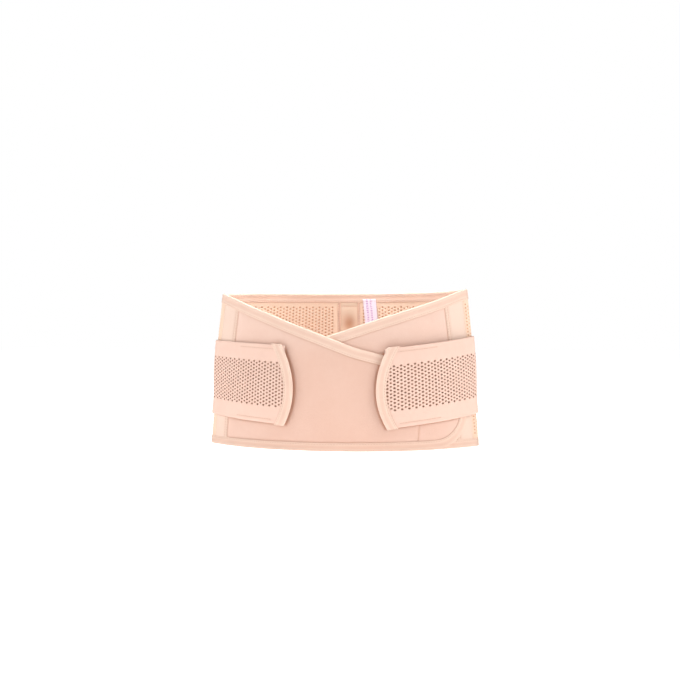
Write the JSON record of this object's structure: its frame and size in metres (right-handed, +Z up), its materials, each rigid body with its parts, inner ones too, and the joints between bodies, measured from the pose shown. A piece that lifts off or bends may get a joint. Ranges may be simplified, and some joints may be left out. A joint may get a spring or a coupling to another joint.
{
  "type": "postpartum pelvic belt",
  "caption": "Fastened pelvic support belt: a cloth loop with crossed front panels, taped edges, an open-mesh back and two perforated elastic side straps.",
  "frame": {"origin": "on the surface that the belt stands on, under the middle of its bounding box", "axes": "+Z up, towards the belt's top edge; -Y towards the wearer's front, where the panels cross; +X towards the right seen from the front"},
  "size_m": [0.3024, 0.1452, 0.172],
  "materials": {
    "panel": "brushed loop cloth on thin foam",
    "tape": "ribbed edge tape",
    "strip": "plain smooth knit",
    "mesh": "open-mesh elastic",
    "satin": "smooth satin-like lining",
    "elastic": "perforated elastic with plain selvedges",
    "hook": "hook tape",
    "label": "white woven satin"
  },
  "bodies": {
    "root": {"outer_panel": "panel", "outer_binding": "tape", "side_seam_left": "tape", "side_strip_left": "strip", "inner_panel": "panel", "inner_binding": "tape", "side_seam_right": "tape", "side_strip_right": "strip", "back_mesh_right": "mesh", "back_mesh_left": "mesh", "centre_back_panel": "satin", "back_seam_right": "tape", "back_seam_left": "tape", "back_top_binding": "tape", "back_bottom_binding": "tape", "strap_left": "elastic", "strap_tape_left": "tape", "hook_patch_left": "hook", "strap_right": "elastic", "strap_tape_right": "tape", "hook_patch_right": "hook", "label": "label"}
  },
  "joints": []
}
